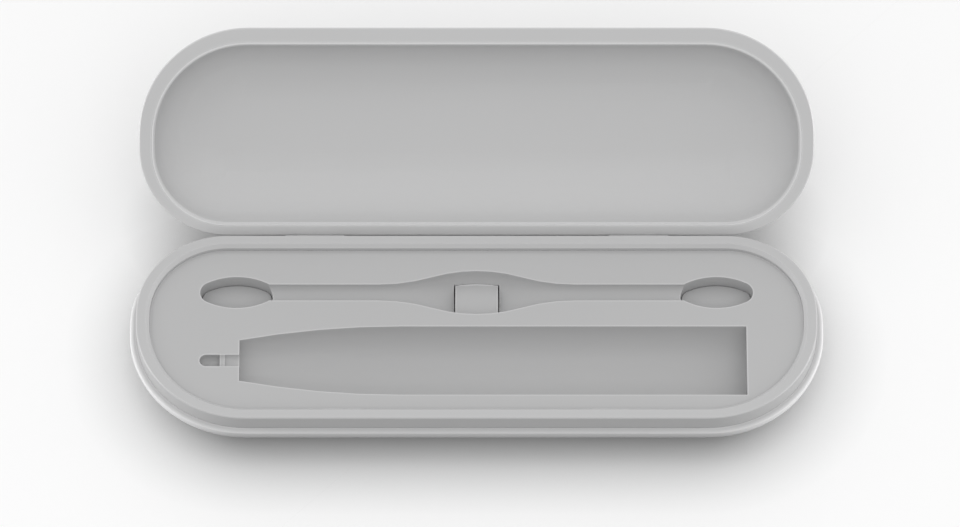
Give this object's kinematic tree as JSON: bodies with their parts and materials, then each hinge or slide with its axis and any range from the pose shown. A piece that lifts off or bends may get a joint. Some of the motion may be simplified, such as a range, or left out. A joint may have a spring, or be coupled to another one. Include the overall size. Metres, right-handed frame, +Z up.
{
  "type": "electric toothbrush travel case",
  "caption": "Pill-shaped hinged travel case that stands open; its tray has a long half-round trough for a toothbrush handle and a slot for brush heads.",
  "frame": {"origin": "centre of the flat underside of the base, midway along and across the base's rim", "axes": "+X to the right along the case, +Y from the front to the hinge side, +Z up"},
  "size_m": [0.2346, 0.1337, 0.0663],
  "materials": {
    "shell_plastic": "satin",
    "tray_plastic": "satin",
    "pad_rubber": "matt",
    "pin_steel": "satin"
  },
  "bodies": {
    "base": {"base_cup": "shell_plastic", "base_frame": "shell_plastic", "tray": "tray_plastic", "divider_block": "tray_plastic", "head_pad_left": "pad_rubber", "head_pad_right": "pad_rubber", "base_magnet_left": "pin_steel", "base_magnet_right": "pin_steel", "base_screws": "pin_steel", "hinge_pin_left": "pin_steel", "hinge_pin_right": "pin_steel"},
    "lid": {"lid_shell": "shell_plastic", "lid_liner": "tray_plastic", "hinge_arm_left": "shell_plastic", "hinge_arm_right": "shell_plastic", "hinge_screws": "pin_steel", "lid_magnet_left": "pin_steel", "lid_magnet_right": "pin_steel"}
  },
  "joints": [
    {"name": "lid_hinge", "type": "hinge", "parent": "base", "child": "lid", "pos_m": [0, 0.03645, 0.0193], "axis": [-1, 0, 0], "range_deg": [-137, 0]}
  ]
}
